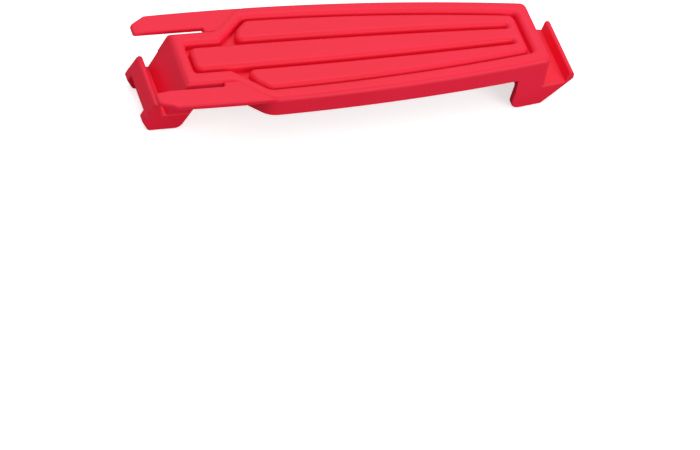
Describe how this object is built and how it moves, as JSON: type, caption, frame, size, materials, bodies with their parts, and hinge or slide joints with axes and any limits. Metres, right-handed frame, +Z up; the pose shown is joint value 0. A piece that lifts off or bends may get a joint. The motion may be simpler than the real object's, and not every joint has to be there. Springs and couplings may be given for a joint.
{
  "type": "hive tool",
  "caption": "Moulded plastic hive tool: a ribbed tray handle with a narrow hook under the neck, a wide hook under the other end and flexing prongs beside the neck.",
  "frame": {"origin": "centre of the tool's box in X and Y, on the plane that both hooks rest on", "axes": "+X from the narrow hook to the wide hook, +Y to the rear side, +Z up out of the tray"},
  "size_m": [0.1914, 0.0586, 0.0258],
  "materials": {
    "red_plastic": "satin"
  },
  "bodies": {
    "handle": {"rear_side_rail": "red_plastic", "front_side_rail": "red_plastic", "end_rail": "red_plastic", "rear_shoulder": "red_plastic", "front_shoulder": "red_plastic", "deck": "red_plastic", "neck_deck": "red_plastic", "neck_rear_rail": "red_plastic", "neck_front_rail": "red_plastic", "neck_end_bar": "red_plastic", "rear_rib": "red_plastic", "centre_rib": "red_plastic", "front_rib": "red_plastic", "rib_end_bar": "red_plastic", "rear_prong_root": "red_plastic", "front_prong_root": "red_plastic", "narrow_hook_face": "red_plastic", "narrow_hook_back_wall": "red_plastic", "narrow_hook_channel_floor": "red_plastic", "narrow_hook_lip": "red_plastic", "narrow_hook_toe_wall": "red_plastic", "narrow_hook_rear_cheek": "red_plastic", "narrow_hook_front_cheek": "red_plastic", "narrow_hook_rear_foot": "red_plastic", "narrow_hook_front_foot": "red_plastic", "rear_toe_tab": "red_plastic", "front_toe_tab": "red_plastic", "wide_hook_face": "red_plastic", "wide_hook_floor": "red_plastic", "wide_hook_lip": "red_plastic", "wide_hook_toe_wall": "red_plastic", "wide_hook_back_wall": "red_plastic", "wide_hook_rear_cheek": "red_plastic", "wide_hook_front_cheek": "red_plastic", "wide_hook_rear_foot": "red_plastic", "wide_hook_front_foot": "red_plastic"},
    "rear_prong": {"rear_prong": "red_plastic"},
    "front_prong": {"front_prong": "red_plastic"}
  },
  "joints": [
    {"name": "rear_prong_flex", "type": "hinge", "parent": "handle", "child": "rear_prong", "pos_m": [-0.0625, 0.0235, 0.02415], "axis": [0, 1, 0], "range_deg": [-3, 3], "stiffness_Nm_per_rad": 2.46},
    {"name": "front_prong_flex", "type": "hinge", "parent": "handle", "child": "front_prong", "pos_m": [-0.0625, -0.0235, 0.02415], "axis": [0, 1, 0], "range_deg": [-3, 3], "stiffness_Nm_per_rad": 2.46}
  ]
}
